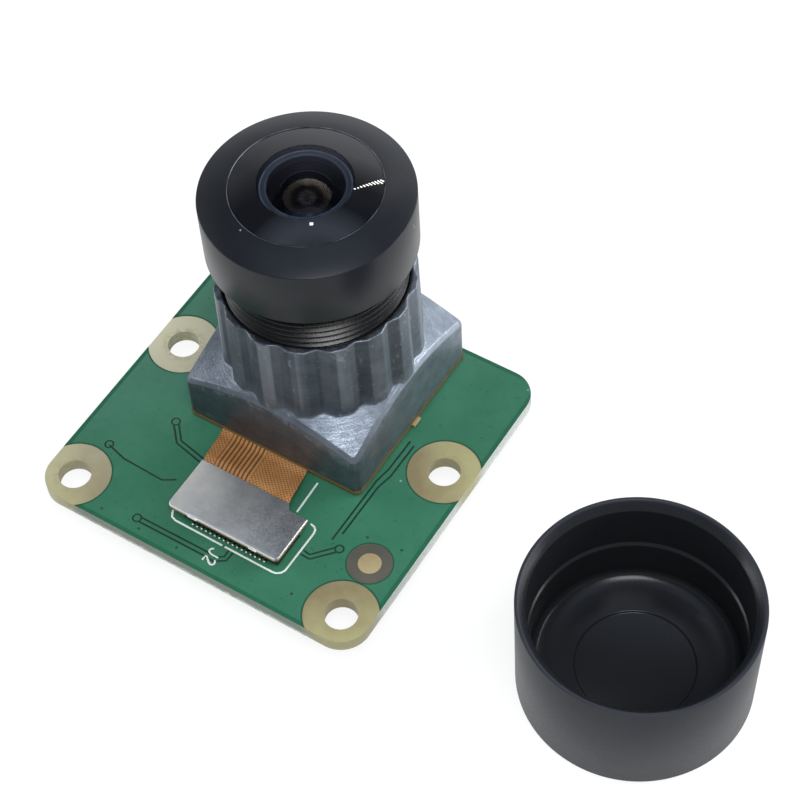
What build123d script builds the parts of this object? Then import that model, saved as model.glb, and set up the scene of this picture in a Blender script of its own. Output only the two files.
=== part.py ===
"""Board camera with a wide-angle screw lens in a fluted holder, and its lens cap standing beside it.

Sizes are in millimetres. The origin is the centre of the four mounting holes on the board's underside,
with +Z out along the lens axis and +Y along the board, towards its ribbon cable edge.
"""

from build123d import *
import math
import os

# Circuit board
board_width = 25.0
board_length = 23.86
board_thickness = 1.0
board_corner_radius = 2.0
hole_edge_distance = 2.0
hole_spacing_along = 12.5
hole_diameter = 2.2

# Where the lens axis stands, measured from the middle pair of holes
lens_beyond_holes = 2.2

# Stack between the circuit board and the holder
pad_thickness = 0.15
pad_margin = 0.6
sensor_board_thickness = 0.25
sensor_board_overhang = 0.05

# Thread and bore of the holder
thread_diameter = 12.0
thread_clearance = 0.05

# Fluted tower of the holder
lobe_count = 16
lobe_height = 0.32
lobe_flank_angle = 7.0
rim_wall = 0.25
holder_height = 11.6
rim_lead = 0.12
tower_draft = 1.0

# Square base of the holder
base_height = 5.0
base_side_margin = 0.06
base_corner_radius = 0.5
base_slope_angle = 30.0
base_ridge_bevel = 0.25
base_wall = 1.2
cavity_height = 3.0
cavity_corner_radius = 0.8
web_thickness = 1.2
web_window = 6.4

# Filter glass under the web
filter_side = 8.0
filter_thickness = 0.3
filter_clearance = 0.1

# Image sensor
die_width = 5.0
die_depth = 3.9
die_thickness = 0.3

# Lens barrel
barrel_gap = 1.0
barrel_bottom_chamfer = 0.3
head_gap = 3.3
head_radius = 6.25
head_height = 3.45
glass_shoulder = 0.6
glass_clearance = 0.02

# Front ring
ring_wall = 0.48
ring_edge_height = 4.25
ring_edge_bevel = 0.1
ring_lip_radius = 4.77
ring_lip_height = 4.9
ring_gap = 0.05

# Glass elements and spacers, from the front
front_glass_radius = 5.3
front_glass_rim = 1.88
front_dome_rise = 0.65
front_dome_step = 0.75
front_rear_radius = 3.1
front_rear_depth = 2.18
stack_radius = 3.88
front_spacer_height = 1.2
front_spacer_bore = 3.15
second_glass_rim = 1.45
second_front_radius = 2.9
second_front_depth = 0.0
second_rear_radius = 2.1
second_rear_depth = 0.7
middle_spacer_height = 1.0
middle_spacer_bore = 2.25
third_glass_rim = 2.0
third_front_radius = 2.1
third_front_rise = 0.45
third_rear_radius = 1.6
third_rear_depth = 0.0
stop_thickness = 0.2
stop_radius = 1.0
barrel_web = 0.8
barrel_web_bore = 2.2
rear_stack_radius = 3.58
crown_rim = 2.0
crown_front_radius = 2.0
crown_front_rise = 0.3
bond_radius = 2.9
bond_depth = 0.6
bond_gap = 0.02
flint_rim = 1.0
flint_rear_radius = 2.4
flint_rear_depth = 0.0
rear_retainer_height = 1.0
rear_retainer_bore = 2.6

# Flexible tail and the plug on its end
tail_width = 6.75
tail_thickness = 0.12
tail_bend_radius = 1.0
tail_straight = 0.55
tail_lean = 0.8
plug_centre_x = 1.38
plug_centre_y = -4.02
plate_left = -3.17
plate_length = 8.55
plate_depth = 4.05
plate_front_y = -5.71
plate_thickness = 0.22
plate_corner_radius = 0.35
plate_notch_length = 0.35
plate_notch_depth = 0.45
plate_ear_length = 1.42

# Board-to-board connector
contact_pitch = 0.35
contact_count = 17
contact_width = 0.18
contact_thickness = 0.08
contact_foot = 0.18
socket_length = 7.4
socket_depth = 2.6
socket_height = 0.7
socket_wall = 0.35
socket_floor = 0.2
mating_clearance = 0.05
plug_top_height = 1.05
plug_wall = 0.35
plug_cover = 0.3
plug_contact_height = 0.3

# Ribbon cable connector on the underside
ribbon_length = 19.5
ribbon_depth = 4.0
ribbon_height = 2.7
ribbon_edge_setback = 1.2
ribbon_pitch = 1.0
ribbon_ways = 15
ribbon_slot_width = 16.5
ribbon_slot_top = 0.6
ribbon_slot_height = 1.15
ribbon_rear_wall = 0.7
ribbon_edge_bevel = 0.3
ribbon_contact_width = 0.4
ribbon_contact_thickness = 0.15
ribbon_foot = 0.8
ribbon_tunnel_clearance = 0.03
ribbon_tip_setback = 0.8
ribbon_tip_length = 0.5
ribbon_tip_rise = 0.25
latch_bar_depth = 0.95
latch_bar_height = 2.2
latch_bar_top = 0.25
latch_gap = 0.05
latch_arm_width = 0.6
latch_arm_length = 2.3
latch_arm_height = 1.0
latch_arm_drop = 0.5
latch_side_clearance = 0.1
latch_tongue_length = 3.0
latch_tongue_thickness = 0.4
latch_window_height = 0.65
anchor_foot = 0.9
anchor_depth = 0.9
anchor_thickness = 0.15
anchor_height = 1.2
anchor_setback = 0.3

# Small parts on the underside, with their places on the board
regulator_x = -5.4
regulator_y = 2.5
regulator_spacing = 4.2
regulator_length = 2.9
regulator_depth = 1.6
regulator_height = 1.1
regulator_standoff = 0.1
regulator_pitch = 0.95
leg_width = 0.38
leg_thickness = 0.15
leg_reach = 0.6
leg_shoulder = 0.25
leg_exit_height = 0.55
oscillator_length = 3.2
oscillator_depth = 2.5
oscillator_base_height = 0.45
oscillator_lid_height = 0.35
oscillator_lid_margin = 0.2
oscillator_x = 5.2
oscillator_y = 4.2
memory_length = 3.0
memory_depth = 2.0
memory_height = 0.75
memory_x = 5.3
memory_y = -0.6
small_length = 1.0
small_depth = 0.5
small_height = 0.5
resistor_height = 0.35
bead_length = 1.6
bead_depth = 0.8
bead_height = 0.8
end_share = 0.25

# Grids of chip parts as (x, y, column spacing, row spacing), with their counts of columns and rows
capacitor_grids = [(-5.4, 0.45, 2.0, 4.1), (0.4, 1.0, 1.3, 1.8)]
capacitor_counts = [(2, 2), (3, 2)]
resistor_grids = [(0.0, -4.6, 1.2, 1.0)]
resistor_counts = [(7, 1)]
bead_grids = [(0.4, 5.4, 2.0, 1.0)]
bead_counts = [(2, 1)]

# Lens cap, standing on the surface that the ribbon connector rests on
cap_x = 27.56
cap_y = 1.17
cap_height = 9.0
cap_rim_radius = 7.62
cap_base_radius = 7.52
cap_edge_bevel = 0.35
cap_rim_flat = 0.2
cap_clearance = 0.15
cap_lead_depth = 0.6
cap_shoulder_depth = 4.2
cap_shoulder_step = 0.22
cap_well_draft = 0.08
cap_floor_thickness = 1.45
cap_corner_reach = 0.5
cap_corner_rise = 0.4
cap_dish_reach = 1.3
cap_dish_rise = 0.3
cap_disc_radius = 3.78
cap_disc_recess = 0.12

# Places worked out from the sizes
hole_radius = hole_diameter / 2
hole_spacing_across = board_width - 2 * hole_edge_distance
board_near_y = -hole_spacing_along / 2 - hole_edge_distance
board_centre_y = board_near_y + board_length / 2
lens_y = hole_spacing_along / 2 + lens_beyond_holes
pad_bottom = board_thickness
sensor_board_bottom = pad_bottom + pad_thickness
holder_bottom = sensor_board_bottom + sensor_board_thickness
bore_radius = thread_diameter / 2
root_radius = bore_radius + rim_wall
base_top = holder_bottom + base_height
rim_height = holder_bottom + holder_height
tower_height = rim_height - base_top
foot_growth = tower_height * math.tan(math.radians(tower_draft))
foot_lobe_radius = root_radius + lobe_height + foot_growth
base_side = 2 * (foot_lobe_radius + base_side_margin)
cavity_side = base_side - 2 * base_wall
cavity_top = holder_bottom + cavity_height
web_top = cavity_top + web_thickness
sensor_side = base_side + 2 * sensor_board_overhang
lens_plane = Plane(origin=(0, lens_y, 0))
lens_section = Plane(origin=(0, lens_y, 0), x_dir=(1, 0, 0), z_dir=(0, -1, 0))
lens_axis = Axis((0, lens_y, 0), (0, 0, 1))

os.makedirs("parts", exist_ok=True)


def save(node, name):
    """Label one finished piece and write its file."""
    node.part.label = name
    export_step(node.part, f"parts/{name}.step")


def polar_point(radius, angle):
    """Point at this radius and angle in degrees."""
    return (radius * math.cos(math.radians(angle)), radius * math.sin(math.radians(angle)))


def sphere_radius(edge_radius, rise):
    """Radius of the sphere whose cap has this edge radius and rise."""
    return (edge_radius ** 2 + rise ** 2) / (2 * rise)


def face_line(edge_radius, level, rise):
    """Line of a ground face from the lens axis to its edge at this level: an arc, or straight when it is flat."""
    if rise == 0:
        Line((0, level), (edge_radius, level))
    else:
        sphere = sphere_radius(edge_radius, abs(rise))
        sagitta = sphere - math.sqrt(sphere ** 2 - (edge_radius / 2) ** 2)
        middle = (edge_radius / 2, level + math.copysign(abs(rise) - sagitta, rise))
        ThreePointArc((0, level + rise), middle, (edge_radius, level))


def lens_revolve(points, mode=Mode.ADD):
    """Turn a closed outline of (radius, height) points about the lens axis."""
    with BuildSketch(lens_section) as section:
        with BuildLine():
            Polyline(*points, close=True)
        make_face()
    revolve(section.sketch, axis=lens_axis, mode=mode)


def flat_ring(inner_radius, outer_radius, bottom, top):
    """Plain ring about the lens axis."""
    lens_revolve([(inner_radius, bottom), (outer_radius, bottom), (outer_radius, top), (inner_radius, top)])


def glass_disc(rim_radius, bottom, top, lower, upper, neck=0.0):
    """Glass disc about the lens axis with a cylindrical rim and ground spherical faces.

    Each face is (edge radius, rise): a rise above zero bulges outwards, one below zero is hollowed and zero
    is flat. A neck lifts the upper face above the rim.
    """
    face_top = top + neck
    with BuildSketch(lens_section) as section:
        with BuildLine():
            Line((0, bottom - lower[1]), (0, face_top + upper[1]))
            face_line(upper[0], face_top, upper[1])
            if neck:
                Line((upper[0], face_top), (upper[0], top))
            Polyline((upper[0], top), (rim_radius, top), (rim_radius, bottom), (lower[0], bottom))
            face_line(lower[0], bottom, -lower[1])
        make_face()
    revolve(section.sketch, axis=lens_axis)


# Circuit board
with BuildPart() as circuit_board:
    with BuildSketch(Plane.XY) as board_outline:
        with Locations((0, board_centre_y)):
            RectangleRounded(board_width, board_length, board_corner_radius)
        with GridLocations(hole_spacing_across, hole_spacing_along, 2, 2):
            Circle(hole_radius, mode=Mode.SUBTRACT)
    extrude(amount=board_thickness)
save(circuit_board, "circuit_board")


# Adhesive pad under the sensor board
with BuildPart() as adhesive_pad:
    with BuildSketch(lens_plane.offset(pad_bottom)):
        RectangleRounded(sensor_side - 2 * pad_margin, sensor_side - 2 * pad_margin, cavity_corner_radius)
    extrude(amount=pad_thickness)
save(adhesive_pad, "adhesive_pad")


# Plate outline, shared by the stiffener and the end of the flexible tail
plate_right = plate_left + plate_length
plate_back_y = plate_front_y + plate_depth
notch_start_x = plate_right - plate_ear_length - plate_notch_length
notch_y = plate_back_y - plate_notch_depth


def plate_outline():
    """Rectangle with one back corner stepped down by a slanted notch."""
    with BuildSketch() as outline:
        with BuildLine():
            Polyline(
                (plate_left, plate_front_y),
                (plate_right, plate_front_y),
                (plate_right, notch_y),
                (plate_right - plate_ear_length, notch_y),
                (notch_start_x, plate_back_y),
                (plate_left, plate_back_y),
                close=True,
            )
        make_face()
        fillet(outline.vertices().group_by(Axis.Y)[0], radius=plate_corner_radius)
    return outline.sketch


# Sensor board with its flexible tail
socket_bottom = board_thickness
plug_top = socket_bottom + plug_top_height
tail_root_z = sensor_board_bottom + sensor_board_thickness / 2
tail_end_z = plug_top + tail_thickness / 2
sensor_front_y = lens_y - sensor_side / 2
tail_centre_x = plate_left + tail_width / 2

# The tail leans towards -X on its way back to the sensor board, so its profile is drawn on a turned plane
tail_run = sensor_front_y - plate_back_y
tail_stretch = math.hypot(tail_run, tail_lean) / tail_run
tail_plane = Plane(
    origin=(tail_centre_x, plate_back_y, 0),
    x_dir=(-tail_lean, tail_run, 0),
    z_dir=(tail_run, tail_lean, 0),
)
with BuildPart() as sensor_flex:
    with BuildSketch(lens_plane.offset(sensor_board_bottom)):
        RectangleRounded(sensor_side, sensor_side, base_corner_radius)
    extrude(amount=sensor_board_thickness)
    with BuildSketch(tail_plane):
        with BuildLine() as tail_path:
            FilletPolyline(
                (tail_stretch * (tail_run + tail_straight), tail_root_z),
                (tail_stretch * (tail_run - tail_straight), tail_root_z),
                (tail_stretch * tail_straight, tail_end_z),
                (-tail_stretch * tail_straight, tail_end_z),
                radius=tail_bend_radius,
            )
        trace(line_width=tail_thickness)
    extrude(amount=tail_width / 2, dir=(1, 0, 0), both=True)
    with BuildSketch(Plane.XY.offset(plug_top)):
        add(plate_outline())
    extrude(amount=tail_thickness)
save(sensor_flex, "sensor_flex")


# Stiffener plate on the end of the tail
with BuildPart() as plug_stiffener:
    with BuildSketch(Plane.XY.offset(plug_top + tail_thickness)):
        add(plate_outline())
    extrude(amount=plate_thickness)
save(plug_stiffener, "plug_stiffener")


# Board-to-board socket: a tray with a middle island, and the plug that closes it
socket_plane = Plane(origin=(plug_centre_x, plug_centre_y, socket_bottom))
groove_width = plug_wall + 2 * mating_clearance
island_length = socket_length - 2 * (socket_wall + groove_width)
island_depth = socket_depth - 2 * (socket_wall + groove_width)
plug_length = socket_length - 2 * (socket_wall + mating_clearance)
plug_depth = socket_depth - 2 * (socket_wall + mating_clearance)
with BuildPart() as socket_housing:
    with BuildSketch(socket_plane):
        Rectangle(socket_length, socket_depth)
    extrude(amount=socket_height)
    with BuildSketch(socket_plane.offset(socket_floor)):
        Rectangle(socket_length - 2 * socket_wall, socket_depth - 2 * socket_wall)
        Rectangle(island_length, island_depth, mode=Mode.SUBTRACT)
    extrude(amount=socket_height - socket_floor, mode=Mode.SUBTRACT)
save(socket_housing, "socket_housing")

with BuildPart() as plug_housing:
    with BuildSketch(socket_plane.offset(socket_floor + mating_clearance)):
        Rectangle(plug_length, plug_depth)
        Rectangle(plug_length - 2 * plug_wall, plug_depth - 2 * plug_wall, mode=Mode.SUBTRACT)
    extrude(amount=plug_top_height - socket_floor - mating_clearance)
    with BuildSketch(socket_plane.offset(plug_top_height - plug_cover)):
        Rectangle(plug_length, plug_depth)
    extrude(amount=plug_cover)
save(plug_housing, "plug_housing")

# Contacts stand against the long walls of the socket and turn out to a foot on the board
with BuildPart() as socket_contacts:
    for side in (-1, 1):
        wall_y = plug_centre_y + side * socket_depth / 2
        leg_y = wall_y + side * contact_thickness
        toe_y = leg_y + side * contact_foot
        leg_top = socket_bottom + socket_height - socket_floor
        foot_top = socket_bottom + contact_thickness
        with BuildSketch(Plane.YZ.offset(plug_centre_x), mode=Mode.PRIVATE) as contact_profile:
            with BuildLine():
                Polyline(
                    (wall_y, socket_bottom),
                    (toe_y, socket_bottom),
                    (toe_y, foot_top),
                    (leg_y, foot_top),
                    (leg_y, leg_top),
                    (wall_y, leg_top),
                    close=True,
                )
            make_face()
        contact = extrude(contact_profile.sketch, amount=contact_width / 2, both=True, mode=Mode.PRIVATE)
        with GridLocations(contact_pitch, 1, contact_count, 1):
            add(contact)
save(socket_contacts, "socket_contacts")

with BuildPart() as plug_contacts:
    with BuildSketch(socket_plane.offset(plug_top_height - plug_contact_height)):
        for side in (-1, 1):
            with Locations((0, side * (plug_depth + contact_thickness) / 2)):
                with GridLocations(contact_pitch, 1, contact_count, 1):
                    Rectangle(contact_width, contact_thickness)
    extrude(amount=plug_contact_height)
save(plug_contacts, "plug_contacts")


# Image sensor chip and the small parts beside it
with BuildPart() as sensor_die:
    with BuildSketch(lens_plane.offset(holder_bottom)):
        Rectangle(die_width, die_depth)
    extrude(amount=die_thickness)
save(sensor_die, "sensor_die")

sensor_part_spacing_x = cavity_side - 2 * small_length
sensor_part_spacing_y = 2 * small_length
with BuildPart() as sensor_capacitors:
    with BuildSketch(lens_plane.offset(holder_bottom)):
        with GridLocations(sensor_part_spacing_x, sensor_part_spacing_y, 2, 2):
            Rectangle(small_depth, small_length)
    extrude(amount=small_height)
save(sensor_capacitors, "sensor_capacitors")


# Lens holder
def tower_outline(root):
    """Fluted outline: each lobe has two flat flanks and an arched crown, and meets the next at a root."""
    crown = root + lobe_height
    half_pitch = 180 / lobe_count
    crown_half = half_pitch - lobe_flank_angle
    with BuildSketch() as outline:
        with BuildLine():
            for lobe in range(lobe_count):
                centre = lobe * 2 * half_pitch
                crown_start = polar_point(crown, centre - crown_half)
                crown_end = polar_point(crown, centre + crown_half)
                Line(polar_point(root, centre - half_pitch), crown_start)
                ThreePointArc(crown_start, polar_point(crown, centre), crown_end)
                Line(crown_end, polar_point(root, centre + half_pitch))
        make_face()
    return outline.sketch


tower_low = base_top - base_height / 3
low_root_radius = root_radius + (rim_height - tower_low) * math.tan(math.radians(tower_draft))
base_slope = math.tan(math.radians(base_slope_angle))
slope_top = base_top + (foot_lobe_radius - root_radius) * base_slope
slope_reach = base_side / 2
with BuildPart() as lens_holder:
    with BuildSketch(lens_plane.offset(holder_bottom)):
        RectangleRounded(base_side, base_side, base_corner_radius)
    extrude(amount=slope_top - holder_bottom)
    # The top slopes away from the tower's foot on all sides, and its ridge along the walls is broken
    lens_revolve(
        [
            (root_radius, slope_top),
            (root_radius + slope_reach, slope_top),
            (root_radius + slope_reach, slope_top - slope_reach * base_slope),
        ],
        mode=Mode.SUBTRACT,
    )
    slope_edges = lens_holder.faces().filter_by(GeomType.CONE).edges()
    ridge = slope_edges.filter_by(lambda edge: edge.bounding_box().size.Z > base_ridge_bevel / 5)
    chamfer(ridge, length=base_ridge_bevel)
    with BuildSketch(lens_plane.offset(tower_low)):
        add(tower_outline(low_root_radius))
    with BuildSketch(lens_plane.offset(rim_height)):
        add(tower_outline(root_radius))
    loft(ruled=True)
    lens_revolve(
        [
            (0, web_top),
            (bore_radius, web_top),
            (bore_radius, rim_height - rim_lead),
            (bore_radius + rim_lead, rim_height),
            (0, rim_height),
        ],
        mode=Mode.SUBTRACT,
    )
    with BuildSketch(lens_plane.offset(holder_bottom)):
        RectangleRounded(cavity_side, cavity_side, cavity_corner_radius)
    extrude(amount=cavity_height, mode=Mode.SUBTRACT)
    with BuildSketch(lens_plane.offset(cavity_top)):
        Rectangle(filter_side + 2 * filter_clearance, filter_side + 2 * filter_clearance)
    extrude(amount=filter_thickness, mode=Mode.SUBTRACT)
    with BuildSketch(lens_plane.offset(cavity_top)):
        RectangleRounded(web_window, web_window, cavity_corner_radius)
    extrude(amount=web_thickness, mode=Mode.SUBTRACT)
save(lens_holder, "lens_holder")


# Filter glass
with BuildPart() as ir_filter:
    with BuildSketch(lens_plane.offset(cavity_top)):
        Rectangle(filter_side, filter_side)
    extrude(amount=filter_thickness)
save(ir_filter, "ir_filter")


# Lens barrel: the heights of its seats follow from the pieces stacked in it
barrel_radius = bore_radius - thread_clearance
barrel_bottom = web_top + barrel_gap
head_bottom = rim_height + head_gap
head_top = head_bottom + head_height
front_pocket_radius = front_glass_radius + glass_clearance
front_seat = head_top + ring_gap + glass_shoulder - front_glass_rim
stack_bore = stack_radius + glass_clearance
second_top = front_seat - front_spacer_height
second_bottom = second_top - second_glass_rim
third_top = second_bottom - middle_spacer_height
third_bottom = third_top - third_glass_rim
stop_bottom = third_bottom - stop_thickness
crown_top = stop_bottom - barrel_web
rear_bore = rear_stack_radius + glass_clearance
crown_bottom = crown_top - crown_rim
flint_bottom = crown_bottom - flint_rim
with BuildPart() as lens_barrel:
    lens_revolve(
        [
            (barrel_radius - barrel_bottom_chamfer, barrel_bottom),
            (barrel_radius, barrel_bottom + barrel_bottom_chamfer),
            (barrel_radius, head_bottom),
            (head_radius, head_bottom),
            (head_radius, head_top),
            (front_pocket_radius, head_top),
            (front_pocket_radius, front_seat),
            (stack_bore, front_seat),
            (stack_bore, stop_bottom),
            (barrel_web_bore, stop_bottom),
            (barrel_web_bore, crown_top),
            (rear_bore, crown_top),
            (rear_bore, barrel_bottom),
        ]
    )
save(lens_barrel, "lens_barrel")


# Front ring, screwed over the barrel's head
ring_inner_radius = head_radius + glass_clearance
ring_radius = ring_inner_radius + ring_wall
ring_ceiling = head_top + ring_gap
lip_bottom = ring_ceiling + glass_shoulder
ring_edge_top = head_bottom + ring_edge_height
lip_top = head_bottom + ring_lip_height
with BuildPart() as front_ring:
    lens_revolve(
        [
            (ring_inner_radius, head_bottom),
            (ring_radius, head_bottom),
            (ring_radius, ring_edge_top - ring_edge_bevel),
            (ring_radius - ring_edge_bevel, ring_edge_top),
            (ring_lip_radius, lip_top),
            (ring_lip_radius, lip_bottom),
            (front_pocket_radius, lip_bottom),
            (front_pocket_radius, ring_ceiling),
            (ring_inner_radius, ring_ceiling),
        ]
    )
save(front_ring, "front_ring")


# Glass elements, spacers and stop, from the front
with BuildPart() as front_element:
    glass_disc(
        front_glass_radius,
        front_seat,
        front_seat + front_glass_rim,
        (front_rear_radius, -front_rear_depth),
        (ring_lip_radius - glass_clearance, front_dome_rise),
        neck=front_dome_step,
    )
save(front_element, "front_element")

with BuildPart() as front_spacer:
    flat_ring(front_spacer_bore, stack_radius, second_top, front_seat)
save(front_spacer, "front_spacer")

with BuildPart() as second_element:
    glass_disc(
        stack_radius,
        second_bottom,
        second_top,
        (second_rear_radius, -second_rear_depth),
        (second_front_radius, -second_front_depth),
    )
save(second_element, "second_element")

with BuildPart() as middle_spacer:
    flat_ring(middle_spacer_bore, stack_radius, third_top, second_bottom)
save(middle_spacer, "middle_spacer")

with BuildPart() as third_element:
    glass_disc(
        stack_radius,
        third_bottom,
        third_top,
        (third_rear_radius, -third_rear_depth),
        (third_front_radius, third_front_rise),
    )
save(third_element, "third_element")

with BuildPart() as aperture_disc:
    flat_ring(stop_radius, stack_radius, stop_bottom, third_bottom)
save(aperture_disc, "aperture_disc")

with BuildPart() as rear_crown_element:
    glass_disc(
        rear_stack_radius,
        crown_bottom,
        crown_top,
        (bond_radius, bond_depth),
        (crown_front_radius, crown_front_rise),
    )
save(rear_crown_element, "rear_crown_element")

with BuildPart() as rear_flint_element:
    glass_disc(
        rear_stack_radius,
        flint_bottom,
        crown_bottom - bond_gap,
        (flint_rear_radius, -flint_rear_depth),
        (bond_radius, -bond_depth),
    )
save(rear_flint_element, "rear_flint_element")

with BuildPart() as rear_retainer:
    flat_ring(rear_retainer_bore, rear_stack_radius, flint_bottom - rear_retainer_height, flint_bottom)
save(rear_retainer, "rear_retainer")


# Ribbon cable connector under the far end of the board: moulded housing with its mouth at the board's edge
ribbon_front_y = board_near_y + board_length - ribbon_edge_setback
ribbon_rear_y = ribbon_front_y - ribbon_depth
slot_top_z = -ribbon_slot_top
slot_bottom_z = slot_top_z - ribbon_slot_height
tunnel_width = ribbon_contact_width + 2 * ribbon_tunnel_clearance
ribbon_plane = Plane(origin=(0, ribbon_rear_y, 0), x_dir=(1, 0, 0), z_dir=(0, 1, 0))
with BuildPart() as ribbon_socket:
    with BuildSketch(ribbon_plane):
        with Locations((0, ribbon_height / 2)):
            Rectangle(ribbon_length, ribbon_height)
    extrude(amount=ribbon_depth)
    chamfer(ribbon_socket.edges().filter_by(Axis.X).group_by(Axis.Z)[0], length=ribbon_edge_bevel)
    with BuildSketch(ribbon_plane.offset(ribbon_rear_wall)):
        with Locations((0, -slot_top_z + ribbon_slot_height / 2)):
            Rectangle(ribbon_slot_width, ribbon_slot_height)
    extrude(amount=ribbon_depth - ribbon_rear_wall, mode=Mode.SUBTRACT)
    with BuildSketch(ribbon_plane):
        with Locations((0, -slot_bottom_z - tunnel_width / 2)):
            with GridLocations(ribbon_pitch, 1, ribbon_ways, 1):
                Rectangle(tunnel_width, tunnel_width)
    extrude(amount=ribbon_rear_wall, mode=Mode.SUBTRACT)
save(ribbon_socket, "ribbon_socket")

# Ribbon contacts: foot on the board, leg up the back wall, and a beam with a raised tip inside the slot
beam_tip_y = ribbon_front_y - ribbon_tip_setback
beam_top_z = slot_bottom_z + ribbon_contact_thickness
with BuildPart() as ribbon_contacts:
    with BuildSketch(Plane.YZ, mode=Mode.PRIVATE) as ribbon_contact_profile:
        with BuildLine():
            Polyline(
                (ribbon_rear_y - ribbon_foot, 0),
                (ribbon_rear_y, 0),
                (ribbon_rear_y, beam_top_z),
                (beam_tip_y - ribbon_tip_length, beam_top_z),
                (beam_tip_y, beam_top_z + ribbon_tip_rise),
                (beam_tip_y, slot_bottom_z),
                (ribbon_rear_y - ribbon_contact_thickness, slot_bottom_z),
                (ribbon_rear_y - ribbon_contact_thickness, -ribbon_contact_thickness),
                (ribbon_rear_y - ribbon_foot, -ribbon_contact_thickness),
                close=True,
            )
        make_face()
    ribbon_contact = extrude(
        ribbon_contact_profile.sketch, amount=ribbon_contact_width / 2, both=True, mode=Mode.PRIVATE
    )
    with GridLocations(ribbon_pitch, 1, ribbon_ways, 1):
        add(ribbon_contact)
save(ribbon_contacts, "ribbon_contacts")


# Locking bar: slides out along +Y to free the ribbon, and its tongue presses the ribbon on the contacts
latch_back_y = ribbon_front_y + latch_gap
latch_half_length = ribbon_length / 2 + latch_gap + latch_arm_width
latch_tongue_width = ribbon_slot_width - 2 * latch_side_clearance
latch_tongue_top = slot_top_z - latch_gap
with BuildPart() as ribbon_latch:
    with BuildSketch(Plane.XY.offset(-latch_bar_top)):
        with Locations((0, latch_back_y + latch_bar_depth / 2)):
            Rectangle(2 * latch_half_length, latch_bar_depth)
    extrude(amount=-latch_bar_height)
    with BuildSketch(ribbon_plane.offset(latch_back_y - ribbon_rear_y)):
        with Locations((0, -slot_bottom_z - latch_window_height / 2)):
            Rectangle(ribbon_slot_width, latch_window_height)
    extrude(amount=latch_bar_depth, mode=Mode.SUBTRACT)
    with BuildSketch(Plane.XY.offset(latch_tongue_top)):
        with Locations((0, latch_back_y)):
            Rectangle(latch_tongue_width, latch_tongue_length, align=(Align.CENTER, Align.MAX))
    extrude(amount=-latch_tongue_thickness)
    with BuildSketch(Plane.XY.offset(-latch_bar_top - latch_arm_drop)):
        for side in (-1, 1):
            with Locations((side * (latch_half_length - latch_arm_width / 2), latch_back_y)):
                Rectangle(latch_arm_width, latch_arm_length, align=(Align.CENTER, Align.MAX))
    extrude(amount=-latch_arm_height)
save(ribbon_latch, "ribbon_latch")


# Solder tabs on the ends of the ribbon connector
anchor_y = ribbon_rear_y + anchor_setback + anchor_depth / 2
with BuildPart() as ribbon_anchors:
    for side in (-1, 1):
        end_x = side * ribbon_length / 2
        with BuildSketch(Plane.XZ.offset(-anchor_y)):
            with BuildLine():
                Polyline(
                    (end_x, 0),
                    (end_x + side * anchor_foot, 0),
                    (end_x + side * anchor_foot, -anchor_thickness),
                    (end_x + side * anchor_thickness, -anchor_thickness),
                    (end_x + side * anchor_thickness, -anchor_height),
                    (end_x, -anchor_height),
                    close=True,
                )
            make_face()
        extrude(amount=anchor_depth / 2, both=True)
save(ribbon_anchors, "ribbon_anchors")


# Voltage regulators: moulded bodies with three legs on one side and two on the other
regulator_plane = Plane(origin=(regulator_x, regulator_y, 0))
with BuildPart() as regulator_bodies:
    with BuildSketch(regulator_plane.offset(-regulator_standoff)):
        with GridLocations(1, regulator_spacing, 1, 2):
            Rectangle(regulator_length, regulator_depth)
    extrude(amount=-regulator_height)
save(regulator_bodies, "regulator_bodies")

with BuildPart() as regulator_legs:
    for row_y in (regulator_y - regulator_spacing / 2, regulator_y + regulator_spacing / 2):
        for side, steps in ((-1, (-1, 0, 1)), (1, (-1, 1))):
            body_y = row_y + side * regulator_depth / 2
            shoulder_y = body_y + side * leg_shoulder
            toe_y = body_y + side * leg_reach
            with BuildSketch(Plane.YZ.offset(regulator_x), mode=Mode.PRIVATE) as leg_profile:
                with BuildLine():
                    Polyline(
                        (body_y, -leg_exit_height),
                        (shoulder_y, -leg_exit_height),
                        (shoulder_y, -leg_thickness),
                        (toe_y, -leg_thickness),
                        (toe_y, 0),
                        (shoulder_y - side * leg_thickness, 0),
                        (shoulder_y - side * leg_thickness, leg_thickness - leg_exit_height),
                        (body_y, leg_thickness - leg_exit_height),
                        close=True,
                    )
                make_face()
            leg = extrude(leg_profile.sketch, amount=leg_width / 2, both=True, mode=Mode.PRIVATE)
            for step in steps:
                with Locations((step * regulator_pitch, 0)):
                    add(leg)
save(regulator_legs, "regulator_legs")


# Clock oscillator and memory chip
with BuildPart() as oscillator_base:
    with BuildSketch(Plane.XY):
        with Locations((oscillator_x, oscillator_y)):
            Rectangle(oscillator_length, oscillator_depth)
    extrude(amount=-oscillator_base_height)
save(oscillator_base, "oscillator_base")

with BuildPart() as oscillator_lid:
    with BuildSketch(Plane.XY.offset(-oscillator_base_height)):
        with Locations((oscillator_x, oscillator_y)):
            Rectangle(
                oscillator_length - 2 * oscillator_lid_margin,
                oscillator_depth - 2 * oscillator_lid_margin,
            )
    extrude(amount=-oscillator_lid_height)
save(oscillator_lid, "oscillator_lid")

with BuildPart() as memory_chip:
    with BuildSketch(Plane.XY):
        with Locations((memory_x, memory_y)):
            Rectangle(memory_length, memory_depth)
    extrude(amount=-memory_height)
save(memory_chip, "memory_chip")


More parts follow.
